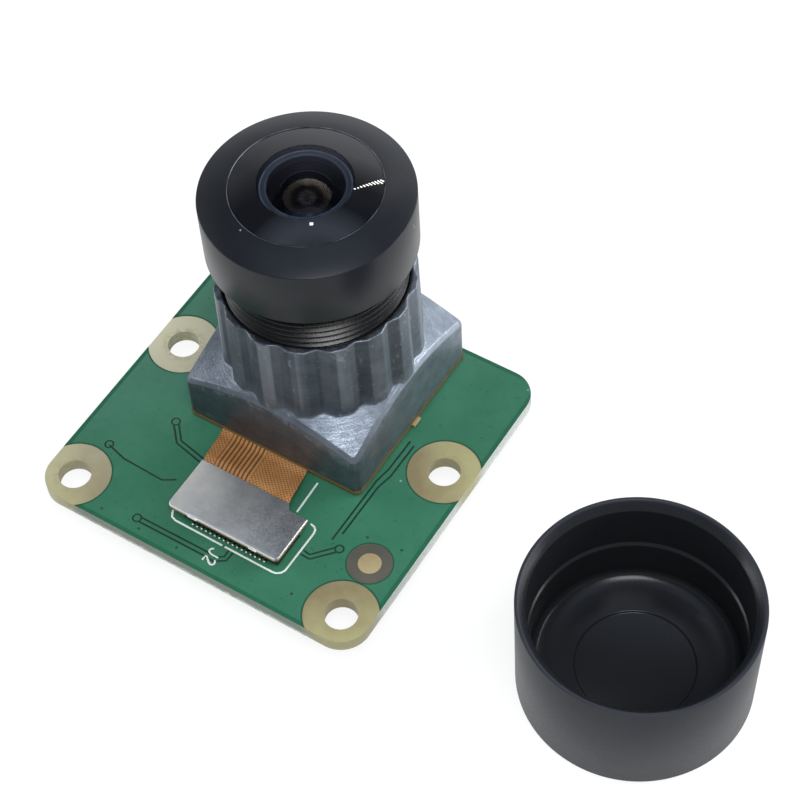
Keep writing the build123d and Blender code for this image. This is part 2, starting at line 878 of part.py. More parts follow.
# Chip parts: a middle body and two metal ends, in rows and grids on the underside
def chip_parts(name, length, depth, height, grids, counts):
    """Write the bodies and the ends of a group of two-ended parts.

    Each grid is (x, y, column spacing, row spacing) and each count is (columns, rows). The parts lie along Y.
    """
    end_length = length * end_share
    with BuildPart() as bodies:
        with BuildSketch(Plane.XY):
            for (x, y, column_spacing, row_spacing), (columns, rows) in zip(grids, counts):
                with Locations((x, y)):
                    with GridLocations(column_spacing, row_spacing, columns, rows):
                        Rectangle(depth, length - 2 * end_length)
        extrude(amount=-height)
    save(bodies, f"{name}_bodies")
    with BuildPart() as ends:
        with BuildSketch(Plane.XY):
            for (x, y, column_spacing, row_spacing), (columns, rows) in zip(grids, counts):
                with Locations((x, y)):
                    with GridLocations(column_spacing, row_spacing, columns, rows):
                        for side in (-1, 1):
                            with Locations((0, side * (length - end_length) / 2)):
                                Rectangle(depth, end_length)
        extrude(amount=-height)
    save(ends, f"{name}_ends")


chip_parts("capacitor", small_length, small_depth, small_height, capacitor_grids, capacitor_counts)
chip_parts("resistor", small_length, small_depth, resistor_height, resistor_grids, resistor_counts)
chip_parts("bead", bead_length, bead_depth, bead_height, bead_grids, bead_counts)


# Lens cap, open side up
cap_ground = -ribbon_height
cap_top = cap_ground + cap_height
cap_inner_radius = ring_radius + cap_clearance
cap_well_radius = cap_inner_radius - cap_shoulder_step
cap_floor = cap_ground + cap_floor_thickness
cap_dish_top = cap_floor + cap_dish_rise
cap_corner_top = cap_dish_top + cap_corner_rise
cap_corner_radius = cap_well_radius - cap_well_draft
cap_dish_radius = cap_corner_radius - cap_corner_reach
with BuildPart() as lens_cap:
    with BuildSketch(Plane(origin=(cap_x, cap_y, 0), x_dir=(1, 0, 0), z_dir=(0, -1, 0))):
        with BuildLine():
            Polyline(
                (0, cap_floor - cap_disc_recess),
                (0, cap_ground),
                (cap_base_radius - cap_edge_bevel, cap_ground),
                (cap_base_radius, cap_ground + cap_edge_bevel),
                (cap_rim_radius, cap_top),
                (cap_rim_radius - cap_rim_flat, cap_top),
                (cap_inner_radius, cap_top - cap_lead_depth),
                (cap_inner_radius, cap_top - cap_shoulder_depth),
                (cap_well_radius, cap_top - cap_shoulder_depth),
                (cap_corner_radius, cap_corner_top),
                (cap_dish_radius, cap_dish_top),
                (cap_dish_radius - cap_dish_reach, cap_floor),
                (cap_disc_radius, cap_floor),
                (cap_disc_radius, cap_floor - cap_disc_recess),
                close=True,
            )
        make_face()
    revolve(axis=Axis((cap_x, cap_y, 0), (0, 0, 1)))
save(lens_cap, "lens_cap")
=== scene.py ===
import math

import bpy
from mathutils import Matrix, Vector


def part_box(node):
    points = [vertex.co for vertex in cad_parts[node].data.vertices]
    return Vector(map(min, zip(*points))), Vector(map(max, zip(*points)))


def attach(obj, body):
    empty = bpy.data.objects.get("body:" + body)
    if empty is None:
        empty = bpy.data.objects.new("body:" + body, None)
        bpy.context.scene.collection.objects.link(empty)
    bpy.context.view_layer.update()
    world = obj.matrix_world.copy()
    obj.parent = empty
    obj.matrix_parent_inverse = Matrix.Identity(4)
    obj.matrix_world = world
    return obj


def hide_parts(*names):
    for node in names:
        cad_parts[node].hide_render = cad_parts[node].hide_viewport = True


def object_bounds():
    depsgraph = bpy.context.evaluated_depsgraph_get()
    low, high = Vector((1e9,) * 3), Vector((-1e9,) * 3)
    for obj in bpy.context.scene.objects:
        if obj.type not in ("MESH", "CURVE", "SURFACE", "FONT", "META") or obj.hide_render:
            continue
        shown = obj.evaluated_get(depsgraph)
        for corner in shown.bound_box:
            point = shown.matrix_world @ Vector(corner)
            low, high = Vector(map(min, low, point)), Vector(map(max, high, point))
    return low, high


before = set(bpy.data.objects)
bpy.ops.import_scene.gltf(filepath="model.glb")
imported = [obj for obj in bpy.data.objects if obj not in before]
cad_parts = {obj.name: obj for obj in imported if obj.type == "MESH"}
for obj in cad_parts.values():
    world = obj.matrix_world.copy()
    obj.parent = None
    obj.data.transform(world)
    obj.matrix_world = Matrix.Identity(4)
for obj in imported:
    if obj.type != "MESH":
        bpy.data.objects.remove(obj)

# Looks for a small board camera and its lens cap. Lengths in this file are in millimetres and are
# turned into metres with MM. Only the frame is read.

MM = 0.001
hair = 0.001 * MM
cad_low, cad_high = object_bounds()
floor_level = cad_low.z


# ---- Camera ----

camera_place = Vector((54.85, -60.75, 120.25)) * MM
camera_aim = Vector((4.90, 9.73, 1.00)) * MM
camera_roll = math.radians(-4.11)
camera_lens = 98.5
sensor_width = 36.0

camera_data = bpy.data.cameras.new("camera")
camera_data.lens = camera_lens
camera_data.sensor_width = sensor_width
camera_data.clip_start = 1 * MM
camera_data.clip_end = 5.0
camera = bpy.data.objects.new("camera", camera_data)
bpy.context.collection.objects.link(camera)
aim = (camera_aim - camera_place).to_track_quat("-Z", "Y").to_euler()
aim.rotate_axis("Z", camera_roll)
camera.location = camera_place
camera.rotation_euler = aim
bpy.context.scene.camera = camera
bpy.context.scene.view_settings.view_transform = "Standard"


# ---- Modelling helpers ----

def deselect_all():
    """Leave edit mode with nothing selected."""
    if bpy.context.mode != "OBJECT":
        bpy.ops.object.mode_set(mode="OBJECT")
    bpy.ops.object.select_all(action="DESELECT")


def activate(piece):
    """Select this piece alone."""
    deselect_all()
    piece.select_set(True)
    bpy.context.view_layer.objects.active = piece


def edit(piece):
    """Open this piece alone in edit mode with all of its mesh selected."""
    activate(piece)
    bpy.ops.object.mode_set(mode="EDIT")
    bpy.ops.mesh.select_mode(type="VERT")
    bpy.ops.mesh.select_all(action="SELECT")


def settle(piece, name, material, body):
    """Bring the piece's place into its mesh, name it, finish it and let it ride on its body."""
    activate(piece)
    bpy.ops.object.transform_apply(location=True, rotation=True, scale=True)
    piece.name = name
    piece.data.name = name
    piece.data.materials.clear()
    piece.data.materials.append(material)
    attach(piece, body)
    return piece


def select_where(piece, test, kind="VERT"):
    """In edit mode, select only the vertices or edges that pass a test on the mesh element."""
    bpy.ops.mesh.select_mode(type=kind)
    bpy.ops.mesh.select_all(action="DESELECT")
    bpy.ops.object.mode_set(mode="OBJECT")
    for element in {"VERT": piece.data.vertices, "EDGE": piece.data.edges}[kind]:
        element.select = test(element)
    bpy.ops.object.mode_set(mode="EDIT")


def join(pieces):
    """Join several pieces into the first one."""
    deselect_all()
    for piece in pieces:
        piece.select_set(True)
    bpy.context.view_layer.objects.active = pieces[0]
    bpy.ops.object.join()
    return pieces[0]


def apply_modifier(piece, kind, **settings):
    """Finish a piece with one modifier and apply it."""
    activate(piece)
    step = piece.modifiers.new(kind, kind)
    for key, value in settings.items():
        setattr(step, key, value)
    bpy.ops.object.modifier_apply(modifier=step.name)


def cut(piece, cutter):
    """Cut one piece out of another and delete the cutter."""
    apply_modifier(piece, "BOOLEAN", operation="DIFFERENCE", solver="EXACT", object=cutter)
    bpy.data.objects.remove(cutter)


def smooth(piece, degrees=25):
    """Shade smooth, but keep edges sharper than this angle."""
    activate(piece)
    bpy.ops.object.shade_smooth_by_angle(angle=math.radians(degrees))


def close_mesh():
    """In edit mode, merge doubled points and turn the faces outwards."""
    bpy.ops.mesh.select_all(action="SELECT")
    bpy.ops.mesh.remove_doubles(threshold=0.0005 * MM)
    bpy.ops.mesh.normals_make_consistent(inside=False)


def rod(x, y, radius, bottom, top):
    """Upright cylinder, used to cut round openings."""
    deselect_all()
    bpy.ops.mesh.primitive_cylinder_add(
        vertices=64,
        radius=radius * MM,
        depth=(top - bottom) * MM,
        location=(x * MM, y * MM, (bottom + top) / 2 * MM),
    )
    return bpy.context.object


def block(low, high):
    """Upright block between two corners, as a start for a shaped piece."""
    deselect_all()
    middle = [(a + b) / 2 * MM for a, b in zip(low, high)]
    bpy.ops.mesh.primitive_cube_add(size=1.0, location=middle)
    piece = bpy.context.object
    piece.scale = [(b - a) * MM for a, b in zip(low, high)]
    bpy.ops.object.transform_apply(location=True, rotation=False, scale=True)
    return piece


def soften_block(piece, width, segments):
    """Bevel all edges of a block."""
    edit(piece)
    bpy.ops.mesh.bevel(offset=width * MM, segments=segments, affect="EDGES")
    deselect_all()


def draw_line(points, closed=False):
    """Line through these points, drawn by extruding one point after another."""
    deselect_all()
    bpy.ops.mesh.primitive_plane_add(size=MM, location=Vector(points[0]) * MM)
    piece = bpy.context.object
    bpy.ops.object.mode_set(mode="EDIT")
    bpy.ops.mesh.select_mode(type="VERT")
    bpy.ops.mesh.merge(type="CENTER")
    for before, after in zip(points, points[1:]):
        step = (Vector(after) - Vector(before)) * MM
        bpy.ops.mesh.extrude_region_move(TRANSFORM_OT_translate={"value": step})
    if closed:
        ends = (0, len(points) - 1)
        select_where(piece, lambda vertex: vertex.index in ends)
        bpy.ops.mesh.edge_face_add()
    bpy.ops.object.mode_set(mode="OBJECT")
    return piece


def stroke(points, width, level, thickness):
    """Flat line of ink or etching through (x, y) points at this level."""
    line = draw_line([(x, y, level) for x, y in points])
    activate(line)
    bpy.ops.object.convert(target="CURVE")
    line = bpy.context.object
    line.data.bevel_depth = width / 2 * MM
    line.data.bevel_resolution = 2
    line.data.use_fill_caps = True
    bpy.ops.object.convert(target="MESH")
    line = bpy.context.object
    edit(line)
    bpy.ops.transform.resize(value=(1, 1, thickness / width), center_override=(0, 0, level * MM))
    close_mesh()
    deselect_all()
    return line


def ring_mark(x, y, radius, width, level, thickness):
    """Flat ring of ink or etching."""
    deselect_all()
    bpy.ops.mesh.primitive_torus_add(
        location=(x * MM, y * MM, level * MM),
        major_radius=radius * MM,
        minor_radius=width / 2 * MM,
        major_segments=32,
        minor_segments=6,
    )
    ring = bpy.context.object
    edit(ring)
    bpy.ops.transform.resize(value=(1, 1, thickness / width), center_override=ring.location)
    deselect_all()
    return ring


def turned(profile, centre, name, material, body, closed=True, soften=0.0, steps=128):
    """Outline of (radius, height) points turned about an upright axis, its edges softened."""
    centre_x, centre_y = centre
    piece = draw_line([(centre_x + radius, centre_y, height) for radius, height in profile], closed)
    edit(piece)
    bpy.ops.mesh.spin(steps=steps, angle=2 * math.pi, center=(centre_x * MM, centre_y * MM, 0),
                      axis=(0, 0, 1))
    close_mesh()
    deselect_all()
    if soften:
        apply_modifier(piece, "BEVEL", width=soften * MM, segments=3, limit_method="ANGLE",
                       angle_limit=math.radians(24))
    smooth(piece)
    return settle(piece, name, material, body)


def copy_to(pattern, moves):
    """Copies of one modelled piece, each with its own mesh, joined with it."""
    pieces = [pattern]
    for move in moves:
        activate(pattern)
        bpy.ops.object.duplicate(linked=False)
        bpy.ops.transform.translate(value=Vector(move) * MM)
        pieces.append(bpy.context.object)
    return join(pieces)


def copy_node(node):
    """Merged copy of a solid's mesh, to be shaped further as a new piece."""
    piece = bpy.data.objects.new(node + "_copy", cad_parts[node].data.copy())
    bpy.context.collection.objects.link(piece)
    edit(piece)
    close_mesh()
    deselect_all()
    return piece


# ---- Shader helpers and shared node groups ----

def tone(red, green, blue):
    """Linear colour of a display colour given from 0 to 255."""
    def linear(value):
        share = value / 255
        return share / 12.92 if share <= 0.04045 else ((share + 0.055) / 1.055) ** 2.4
    return (linear(red), linear(green), linear(blue), 1.0)


def set_inputs(node, values):
    """Give a node's inputs these values, or link them to these sockets."""
    for name, value in dict(values).items():
        if isinstance(value, bpy.types.NodeSocket):
            node.id_data.links.new(value, node.inputs[name])
        else:
            node.inputs[name].default_value = value


def add_node(tree, kind, values=(), **settings):
    """Add a shader node, with its settings and its inputs."""
    node = tree.nodes.new(kind)
    for key, value in settings.items():
        setattr(node, key, value)
    set_inputs(node, values)
    return node


def calculate(tree, operation, first, second=0.0, clamp=False):
    """Math node on two sockets or numbers. Returns its output."""
    values = {0: first, 1: second}
    return add_node(tree, "ShaderNodeMath", values, operation=operation, use_clamp=clamp).outputs[0]


def plus(tree, first, second, clamp=False):
    """Sum of two sockets or numbers."""
    return calculate(tree, "ADD", first, second, clamp)


def minus(tree, first, second):
    """Difference of two sockets or numbers."""
    return calculate(tree, "SUBTRACT", first, second)


def times(tree, first, *others):
    """Product of sockets or numbers."""
    for other in others:
        first = calculate(tree, "MULTIPLY", first, other)
    return first


def absolute(tree, value):
    """Size of a socket's value, whatever its sign."""
    return calculate(tree, "ABSOLUTE", value)


def highest(tree, first, second):
    """Higher of two sockets or numbers."""
    return calculate(tree, "MAXIMUM", first, second)


def blend_colours(tree, share, first, second):
    """Mix two colours, each a socket or a colour. Returns the mixed colour."""
    return add_node(tree, "ShaderNodeMix", {0: share, 6: first, 7: second}, data_type="RGBA").outputs[2]


def painted(tree, surface, *layers):
    """Colour with others laid over it in turn, each as (share, display colour)."""
    for share, colour in layers:
        surface = blend_colours(tree, share, surface, tone(*colour))
    return surface


def remap(tree, value, low, high, to_low=0.0, to_high=1.0):
    """Bring a value from one range to another, held inside it."""
    return add_node(tree, "ShaderNodeMapRange", {0: value, 1: low, 2: high, 3: to_low, 4: to_high}).outputs[0]


def object_place(tree, stretch=(1.0, 1.0, 1.0)):
    """Object coordinates in millimetres, stretched along the axes."""
    place = tree.nodes.new("ShaderNodeTexCoord").outputs["Object"]
    scale = [share / MM for share in stretch]
    return add_node(tree, "ShaderNodeMapping", {"Vector": place, "Scale": scale}).outputs[0]


def split(tree, vector):
    """The three numbers of a vector."""
    return add_node(tree, "ShaderNodeSeparateXYZ", {0: vector}).outputs


def axes(tree):
    """Object coordinates in millimetres as three numbers."""
    return split(tree, object_place(tree))


def noise(tree, size, detail=3.0, roughness=0.55, stretch=(1.0, 1.0, 1.0)):
    """Noise with spots of this size in millimetres. Size is a number or a socket."""
    return add_node(tree, "ShaderNodeTexNoise", {
        "Vector": object_place(tree, stretch), "Scale": calculate(tree, "DIVIDE", 1.0, size),
        "Detail": detail, "Roughness": roughness,
    }).outputs[0]


def distance_from(tree, x, y, place):
    """Distance in millimetres of a point (x, y) given as sockets from a place."""
    offsets = [minus(tree, value, middle) for value, middle in zip((x, y), place)]
    squares = [times(tree, offset, offset) for offset in offsets]
    return calculate(tree, "SQRT", plus(tree, *squares))


def facing_up(tree):
    """1 on faces that look up, 0 on upright ones and -1 on those that look down."""
    return split(tree, tree.nodes.new("ShaderNodeNewGeometry").outputs["Normal"])[2]


def upright(tree, low, high):
    """1 on upright faces, falling to 0 as they tilt from the low to the high share of facing up or down."""
    return remap(tree, absolute(tree, facing_up(tree)), low, high, 1.0, 0.0)


def shared_effect(name, inputs, build):
    """Node group with these inputs and one output, which a function makes from the group and its inputs."""
    group = bpy.data.node_groups.new(name, "ShaderNodeTree")
    for socket, default in inputs.items():
        made = group.interface.new_socket(socket, in_out="INPUT", socket_type="NodeSocketFloat")
        made.default_value = default
    group.interface.new_socket("Value", in_out="OUTPUT", socket_type="NodeSocketFloat")
    given, result = group.nodes.new("NodeGroupInput"), group.nodes.new("NodeGroupOutput")
    set_inputs(result, {"Value": build(group, given.outputs)})
    return group


def grain_pattern(group, given):
    """Even grain of a moulded or blasted surface, from 0 to 1."""
    return noise(group, given["Size"], detail=4.0)


def worn_edges(group, given):
    """Mask that is 1 along outer edges, broken up in patches."""
    rounded = add_node(group, "ShaderNodeBevel", {"Radius": given["Width"]}, samples=6).outputs[0]
    flat = group.nodes.new("ShaderNodeNewGeometry").outputs["Normal"]
    turn = add_node(group, "ShaderNodeVectorMath", {0: rounded, 1: flat}, operation="DOT_PRODUCT")
    patch = remap(group, noise(group, given["Patch Size"], detail=5.0), 0.38, 0.62)
    mask = times(group, remap(group, turn.outputs["Value"], 0.995, 0.80), patch)
    return calculate(group, "MULTIPLY", mask, given["Amount"], clamp=True)


def dust_specks(group, given):
    """Mask of small separate specks. Share is how much of the surface carries them."""
    cells = add_node(group, "ShaderNodeTexVoronoi", {
        "Vector": object_place(group), "Scale": calculate(group, "DIVIDE", 1.0, given["Spacing"]),
    }, feature="F1")
    near = remap(group, cells.outputs["Distance"], 0.16, 0.08)
    pick = add_node(group, "ShaderNodeSeparateColor", {0: cells.outputs["Color"]}).outputs[0]
    return times(group, near, calculate(group, "LESS_THAN", pick, given["Share"]))


grain_group = shared_effect("grain", {"Size": 0.2}, grain_pattern)
wear_group = shared_effect("edge wear", {"Width": 0.0001, "Patch Size": 0.8, "Amount": 1.0}, worn_edges)
dust_group = shared_effect("dust", {"Spacing": 0.6, "Share": 0.1}, dust_specks)


def use_group(tree, group, **values):
    """Place a shared effect in a material with its own values. Returns its output."""
    values = {socket.replace("_", " "): value for socket, value in values.items()}
    return add_node(tree, "ShaderNodeGroup", values, node_tree=group).outputs[0]


def new_material(name, values=()):
    """New material with its tree and its shader, whose inputs get these values."""
    material = bpy.data.materials.new(name)
    material.use_nodes = True
    shader = material.node_tree.nodes["Principled BSDF"]
    set_inputs(shader, values)
    return material, material.node_tree, shader


def drifting(tree, colour, drift, size):
    """Colour that drifts between two display colours over spots of this size in millimetres."""
    return painted(tree, tone(*colour), (remap(tree, noise(tree, size), 0.35, 0.65), drift))


def feed(tree, shader, surface, roughness, height, bump):
    """Feed the shader from a colour, a roughness and a height, with a bump of this depth in millimetres."""
    relief = add_node(tree, "ShaderNodeBump", {"Distance": bump * MM, "Height": height}).outputs[0]
    set_inputs(shader, {"Base Color": surface, "Roughness": roughness, "Normal": relief})


grain_span = (0.3, 0.7)


def grained(tree, shader, surface, roughness, grain, bump, sunk=None):
    """Feed the shader from a colour, with grain of this size in its roughness (lowest, highest) and bump."""
    height = grain_value = use_group(tree, grain_group, Size=grain)
    if sunk:
        height = minus(tree, grain_value, sunk)
    feed(tree, shader, surface, remap(tree, grain_value, *grain_span, *roughness), height, bump)


def finish(name, colour, drift, roughness, grain, bump, metallic=0.0, specular=0.5, drift_size=3.0, wear=None,
           dust=0.0):
    """Finish with a drifting colour, grain in its roughness and bump, and perhaps worn edges and dust.

    Colour and drift are the two display colours that it drifts between, and wear is that of worn edges.
    Roughness is (lowest, highest). Grain, bump and drift size are in millimetres.
    """
    material, tree, shader = new_material(name, {"Metallic": metallic, "Specular IOR Level": specular})
    surface = drifting(tree, colour, drift, drift_size)
    if wear:
        worn = use_group(tree, wear_group, Width=0.03 * MM, Patch_Size=0.5, Amount=0.5)
        surface = painted(tree, surface, (worn, wear))
    if dust:
        speck = use_group(tree, dust_group, Spacing=0.5, Share=dust)
        surface = painted(tree, surface, (times(tree, speck, 0.6), (190, 190, 188)))
    grained(tree, shader, surface, roughness, grain, bump)
    return material


# ---- Places that both the finishes and the pieces use ----

def box(node):
    """Lowest and highest corner of a solid in millimetres."""
    low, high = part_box(node)
    return low / MM, high / MM


board_low, board_high = box("circuit_board")
board_top = board_high.z
board_centre = (board_low + board_high) / 2
board_size = board_high - board_low
hole_x, hole_y = 10.5, 6.25
bare_ring_radius = 2.45
target_place = (10.06, -2.18)
target_opening = 1.48
cap_low, cap_high = box("lens_cap")
cap_centre = (cap_low + cap_high) / 2
lens_low, lens_high = box("front_ring")
lens_centre = (0.0, (lens_low.y + lens_high.y) / 2)
dome_top = box("front_element")[1].z
ledge_level = dome_top - 0.95
ledge_radius, opening_radius = 2.8, 2.36
plate_low, plate_high = box("plug_stiffener")
holder_low = box("lens_holder")[0]
flute_count = 16


# ---- Finishes ----

def distance_from_hole(tree, x, y):
    """Distance in millimetres of a point (x, y) given as sockets from the nearest mounting hole."""
    return distance_from(tree, *[absolute(tree, value) for value in (x, y)], (hole_x, hole_y))


def mask_finish():
    """Green solder mask: faintly clouded, darker outside the copper pour and in a line round each opening."""
    material, tree, shader = new_material("green mask")
    x, y, z = axes(tree)
    pour_setback = 0.32
    glare_from, glare_to, most_glare = 4.0, 17.0, 0.4
    line_offset, line_reach, line_core, line_strength = 0.04, 0.09, 0.03, 0.8
    reaches = []
    for value, middle, size in ((x, board_centre.x, board_size.x), (y, board_centre.y, board_size.y)):
        reaches.append(minus(tree, absolute(tree, minus(tree, value, middle)), size / 2 - pour_setback))
    outside = remap(tree, highest(tree, *reaches), 0.0, 0.06)
    # Painted reflection: the mask is paler towards the back left, as the glare of the room on it.
    smudge_and_glare = remap(tree, minus(tree, y, x), glare_from, glare_to, 0.0, most_glare)
    surface = painted(tree, drifting(tree, (47, 109, 82), (55, 117, 90), 4.0),
                      (smudge_and_glare, (92, 136, 118)), (outside, (30, 96, 68)))
    upper_side = remap(tree, z, board_centre.z, board_top)
    for reach, opening, side in ((distance_from_hole(tree, x, y), bare_ring_radius, 1.0),
                                 (distance_from(tree, x, y, target_place), target_opening, upper_side)):
        gap = absolute(tree, minus(tree, reach, opening + line_offset))
        line = times(tree, remap(tree, gap, line_reach, line_core, 0.0, line_strength), side)
        surface = painted(tree, surface, (line, (24, 66, 46)))
    speck = use_group(tree, dust_group, Spacing=0.7, Share=0.03)
    surface = painted(tree, surface, (times(tree, speck, 0.5), (170, 200, 186)))
    grained(tree, shader, surface, (0.26, 0.38), 0.5, 0.001)
    return material


def laminate_finish():
    """Bare glass laminate: olive on the face, paler towards the board's rim, with bands on the sawn edge."""
    material, tree, shader = new_material("glass laminate")
    x, y, z = axes(tree)
    corner = hole_x + hole_y
    outwards = plus(tree, absolute(tree, x), absolute(tree, y))
    paler = remap(tree, outwards, corner - 2.5, corner + 2.5)
    cloud = remap(tree, noise(tree, 1.6), 0.3, 0.7, -0.2, 0.2)
    # Painted light: the laminate is paler towards the back left, where more light falls.
    smudge_and_glare = remap(tree, minus(tree, y, x), -2.0, corner, 0.0, 0.65)
    reach = distance_from_hole(tree, x, y)
    bruise_end, bruise_start = 1.65, 1.25
    bruise = times(tree, remap(tree, reach, bruise_end, bruise_start),
                   remap(tree, noise(tree, 0.3), 0.42, 0.58), 0.4)
    surface = painted(tree, tone(134, 122, 88), (plus(tree, paler, cloud, clamp=True), (172, 166, 120)),
                      (smudge_and_glare, (214, 212, 186)), (bruise, (150, 140, 104)))
    streaks = remap(tree, noise(tree, 0.25, detail=4.0, stretch=(0.6, 0.6, 2.0)), 0.35, 0.65, -0.15, 0.15)
    level = plus(tree, z, streaks)
    right_end = remap(tree, x, board_high.x - 0.2, board_high.x - 0.02, 0.0, 0.7)
    edge_tone = painted(tree, tone(214, 222, 214), (remap(tree, level, 0.0, 0.2), (140, 162, 148)),
                        (remap(tree, level, 0.22, 0.36), (114, 120, 106)), (right_end, (224, 228, 224)))
    outer = remap(tree, reach, bare_ring_radius - 0.5, bare_ring_radius + 0.3)
    surface = blend_colours(tree, times(tree, upright(tree, 0.3, 0.6), outer), surface, edge_tone)
    grained(tree, shader, surface, (0.4, 0.55), 0.12, 0.004)
    return material


def flex_finish():
    """Amber film over copper: lengthwise lines along the middle of the tail, and cross hatching beside them."""
    material, tree, shader = new_material("flex film")
    x, y, _ = axes(tree)
    tail_slant, line_pitch, hatch_pitch = 0.21, 0.31, 0.28
    lines_from, lines_to = -2.75, 0.0
    across = plus(tree, x, times(tree, y, tail_slant))

    def ridges(value, pitch, low, high):
        return remap(tree, calculate(tree, "SINE", times(tree, value, 2 * math.pi / pitch)), low, high)

    lines = times(tree, ridges(across, line_pitch, 0.0, 0.6),
                  remap(tree, across, lines_from, lines_from + 0.05))
    hatch = times(tree, ridges(plus(tree, x, y), hatch_pitch, -0.1, 0.4),
                  ridges(minus(tree, x, y), hatch_pitch, -0.1, 0.4))
    hatched = highest(tree, remap(tree, across, lines_to, lines_to + 0.1),
                      remap(tree, across, lines_from, lines_from - 0.1))
    gaps = plus(tree, times(tree, hatched, hatch), times(tree, minus(tree, 1.0, hatched), lines))
    # Painted shade where the film runs under the holder; the film's upright edges are darker in their own
    # colour.
    holder_shade = remap(tree, y, holder_low.y - 0.12, holder_low.y - 0.06)
    edges_and_holder_shade = highest(tree, upright(tree, 0.2, 0.5), holder_shade)
    surface = painted(tree, drifting(tree, (182, 132, 82), (168, 116, 66), 1.5),
                      (times(tree, gaps, 0.85), (80, 46, 22)), (edges_and_holder_shade, (98, 82, 48)))
    grained(tree, shader, surface, (0.3, 0.42), 0.2, 0.006, sunk=gaps)
    return material


def plate_finish():
    """Thin stainless plate: satin, with painted shade darker towards one end and clouded at random, and worn
    bright edges.
    """
    material, tree, shader = new_material("steel plate", {"Metallic": 0.85})
    x, y, _ = axes(tree)
    along = remap(tree, x, plate_low.x, plate_high.x)
    cloud = remap(tree, noise(tree, 1.6, detail=2.0), 0.3, 0.7, -0.12, 0.12)
    fine = remap(tree, noise(tree, 0.09, detail=2.0), 0.35, 0.65)
    sheared = highest(tree, remap(tree, y, plate_low.y + 0.09, plate_low.y + 0.03),
                      remap(tree, x, plate_high.x - 0.08, plate_high.x - 0.03))
    worn = use_group(tree, wear_group, Width=0.07 * MM, Patch_Size=0.6, Amount=1.0)
    # Painted shade: the plate darkens towards its high end along x, clouded at random.
    surface = painted(tree, tone(222, 221, 216), (plus(tree, along, cloud, clamp=True), (116, 119, 122)),
                      (times(tree, fine, 0.22), (205, 205, 203)),
                      (highest(tree, worn, sheared), (250, 247, 240)))
    feed(tree, shader, surface, remap(tree, fine, 0.0, 1.0, 0.36, 0.5), fine, 0.0012)
    return material


def cast_finish():
    """Blasted zinc casting, brushed, with painted light: paler towards the back, flute flanks painted lit on
    one side and shaded on the other, painted shade in creases, and ridges worn by rubbing that also carry a
    painted highlight.
    """
    material, tree, shader = new_material("cast metal", {"Metallic": 0.96})
    x, y, z = axes(tree)
    up = facing_up(tree)
    front_end, back_end = -1.0, 15.0
    tower_foot = holder_low.z + 5.2
    flank_turn = 0.8
    clouds = remap(tree, noise(tree, 1.4, detail=4.0, roughness=0.65), 0.32, 0.68)
    # Painted light: the metal is paler towards the back, where it takes more light.
    lit_towards_back = remap(tree, times(tree, plus(tree, x, y), 0.7), front_end, back_end)
    shaded_metal = blend_colours(tree, clouds, tone(84, 91, 100), tone(104, 112, 121))
    lit_metal = blend_colours(tree, clouds, tone(126, 135, 146), tone(160, 169, 180))
    brushing = remap(tree, noise(tree, 0.5, detail=5.0, roughness=0.7, stretch=(0.5, 0.5, 7.0)), 0.3, 0.7)
    scratches = remap(tree, noise(tree, 0.9, detail=3.0, roughness=0.7, stretch=(6.0, 6.0, 0.35)), 0.58, 0.8)
    tower = remap(tree, z, tower_foot, tower_foot + 1.0)

    # Painted light and shade on the tower: one flank of each chosen flute painted lit, the other painted
    # shaded.
    angle = calculate(tree, "ARCTAN2", minus(tree, y, lens_centre[1]), x)
    flank = calculate(tree, "SINE", plus(tree, times(tree, angle, flute_count), flank_turn))
    chosen = remap(tree, noise(tree, 2.2, detail=1.0, stretch=(1.0, 1.0, 0.04)), 0.44, 0.56)
    on_flutes = times(tree, tower, remap(tree, up, 0.3, 0.5, 1.0, 0.0))
    bright = times(tree, remap(tree, flank, 0.35, 0.6), chosen, on_flutes, 0.4)
    dark = times(tree, remap(tree, flank, -0.35, -0.6), minus(tree, 1.0, chosen), on_flutes, 0.45)

    # Painted shade in the creases, and ridges partly worn bright by rubbing and partly carrying a painted
    # highlight.
    pointed = tree.nodes.new("ShaderNodeNewGeometry").outputs["Pointiness"]
    crease_shade = times(tree, remap(tree, pointed, 0.49, 0.44), 0.7)
    rubbed_and_highlit = times(tree, remap(tree, pointed, 0.54, 0.64, 0.0, 0.3),
                   remap(tree, noise(tree, 0.5, detail=4.0), 0.36, 0.6))
    surface = blend_colours(tree, lit_towards_back, shaded_metal, lit_metal)
    surface = painted(tree, surface, (times(tree, brushing, 0.35), (78, 87, 98)),
                      (times(tree, scratches, 0.25), (150, 158, 168)), (times(tree, tower, 0.3), (46, 51, 58)),
                      (bright, (164, 171, 180)), (dark, (36, 40, 46)), (crease_shade, (40, 45, 52)),
                      (rubbed_and_highlit, (196, 203, 212)))
    top = remap(tree, up, 0.45, 0.85)
    grains = remap(tree, noise(tree, 0.11, detail=3.0, roughness=0.6), 0.5, 0.62)
    roughness = minus(tree, remap(tree, brushing, 0.0, 1.0, 0.42, 0.6), times(tree, top, 0.1))
    height = plus(tree, brushing, times(tree, grains, top, 0.6))
    feed(tree, shader, surface, roughness, height, 0.006)
    return material


